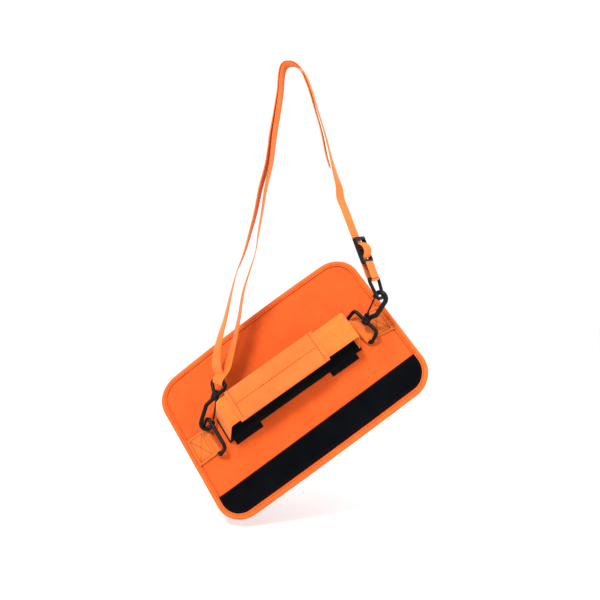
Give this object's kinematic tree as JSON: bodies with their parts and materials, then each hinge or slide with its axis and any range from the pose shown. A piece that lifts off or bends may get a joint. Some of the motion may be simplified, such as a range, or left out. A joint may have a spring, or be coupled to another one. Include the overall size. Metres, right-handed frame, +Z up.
{
  "type": "golf club carrier wrap",
  "caption": "Padded fabric wrap panel with fold-over closure flaps, a webbing grip handle and a clip-on adjustable shoulder strap, for carrying a bundle of golf clubs.",
  "frame": {"origin": "underside of the strap's top bend, where a peg or hand holds it", "axes": "+Z up, +X along the hanging object's width towards the slider side, +Y from the front through the panel to the back"},
  "size_m": [0.4532, 0.1185, 0.7424],
  "materials": {
    "panel_fabric": "woven polyester, satin",
    "lining_fabric": "smooth nylon lining",
    "foam": "closed-cell foam padding",
    "binding_tape": "woven edge tape",
    "strap_webbing": "nylon webbing, slight sheen",
    "closure_strip": "loop and hook fastener",
    "black_webbing": "black nylon webbing, slight sheen",
    "black_plastic": "moulded acetal, fine satin"
  },
  "bodies": {
    "panel": {"cover_centre": "panel_fabric", "foam_centre": "foam", "lining_centre": "lining_fabric", "binding_centre": "binding_tape", "handle_base_strip": "black_webbing", "cross_patch_left": "black_webbing", "cross_patch_right": "black_webbing", "handle_webbing": "strap_webbing", "grip_cover": "strap_webbing", "grip_foam": "foam", "tab_left": "strap_webbing", "tab_right": "strap_webbing", "left_hook_base": "black_plastic", "strap_hook_turn": "strap_webbing", "strap_outer_left": "strap_webbing", "strap_inner_left": "strap_webbing", "strap_outer_right": "strap_webbing", "strap_tail": "strap_webbing", "strap_run": "strap_webbing", "strap_return": "strap_webbing", "strap_ring_turn": "strap_webbing"},
    "lower_side": {"cover_lower_side": "panel_fabric", "foam_lower_side": "foam", "lining_lower_side": "lining_fabric", "binding_lower_side": "binding_tape"},
    "lower_flap": {"cover_lower_flap": "panel_fabric", "foam_lower_flap": "foam", "lining_lower_flap": "lining_fabric", "binding_lower_flap": "binding_tape", "loop_strip": "closure_strip"},
    "upper_side": {"cover_upper_side": "panel_fabric", "foam_upper_side": "foam", "lining_upper_side": "lining_fabric", "binding_upper_side": "binding_tape"},
    "upper_flap": {"cover_upper_flap": "panel_fabric", "foam_upper_flap": "foam", "lining_upper_flap": "lining_fabric", "binding_upper_flap": "binding_tape", "hook_strip": "closure_strip"},
    "left_loop": {"left_loop": "black_plastic"},
    "left_hook": {"left_hook": "black_plastic"},
    "left_gate": {"left_gate": "black_plastic"},
    "right_hook_base": {"right_hook_base": "black_plastic"},
    "right_hook": {"right_hook": "black_plastic"},
    "right_gate": {"right_gate": "black_plastic"},
    "strap_ring": {"strap_ring": "black_plastic"},
    "slider": {"slider": "black_plastic", "slider_hump": "strap_webbing"}
  },
  "joints": [
    {"name": "lower_wrap", "type": "hinge", "parent": "panel", "child": "lower_side", "pos_m": [0.02846, -0.00394, -0.5621], "axis": [0.8151, 0, 0.5793], "range_deg": [0, 90]},
    {"name": "lower_flap_fold", "type": "hinge", "parent": "lower_side", "child": "lower_flap", "pos_m": [0.04878, -0.01854, -0.5907], "axis": [0.8151, 0, 0.5793], "range_deg": [0, 90]},
    {"name": "upper_wrap", "type": "hinge", "parent": "panel", "child": "upper_side", "pos_m": [-0.01325, 0.02603, -0.50341], "axis": [-0.8151, 0, -0.5793], "range_deg": [0, 90]},
    {"name": "upper_flap_fold", "type": "hinge", "parent": "upper_side", "child": "upper_flap", "pos_m": [-0.03999, 0.04525, -0.46578], "axis": [-0.8151, 0, -0.5793], "range_deg": [0, 90]},
    {"name": "left_loop_pivot", "type": "hinge", "parent": "panel", "child": "left_loop", "pos_m": [-0.13001, -0.00082, -0.6205], "axis": [-0.5348, 0.3843, 0.7525], "range_deg": [-3, 3]},
    {"name": "left_hook_swivel", "type": "hinge", "parent": "panel", "child": "left_hook", "pos_m": [-0.12312, -0.00085, -0.54361], "axis": [0.2912, 0.0424, 0.9557], "range_deg": [-12, 6]},
    {"name": "left_gate_press", "type": "hinge", "parent": "left_hook", "child": "left_gate", "pos_m": [-0.12266, -0.00004, -0.55614], "axis": [-0.3023, 0.9519, 0.0499], "range_deg": [0, 9], "stiffness_Nm_per_rad": 0.04, "springref_deg": -20.05},
    {"name": "right_base_pivot", "type": "hinge", "parent": "panel", "child": "right_hook_base", "pos_m": [0.11363, 0.0013, -0.44113], "axis": [-0.6657, 0.3787, 0.643], "range_deg": [-1, 1.5]},
    {"name": "right_hook_swivel", "type": "hinge", "parent": "right_hook_base", "child": "right_hook", "pos_m": [0.12381, -0.01111, -0.42329], "axis": [0.4242, -0.5168, 0.7436], "range_deg": [-8, 8]},
    {"name": "right_gate_press", "type": "hinge", "parent": "right_hook", "child": "right_gate", "pos_m": [0.12573, -0.01525, -0.4114], "axis": [0.638, 0.7533, 0.1597], "range_deg": [0, 16], "stiffness_Nm_per_rad": 0.04, "springref_deg": -20.05},
    {"name": "strap_ring_pivot", "type": "hinge", "parent": "panel", "child": "strap_ring", "pos_m": [0.13377, -0.03229, -0.35402], "axis": [0.537, 0.8361, 0.112], "range_deg": [-3, 2]},
    {"name": "slider_slide", "type": "slide", "parent": "panel", "child": "slider", "axis": [-0.3399, 0.093, 0.9358], "range_m": [0, 0.07]}
  ],
  "couplings": [
    {"joint": "lower_flap_fold", "follows": "lower_wrap", "ratio": 1},
    {"joint": "upper_flap_fold", "follows": "upper_wrap", "ratio": 1}
  ]
}
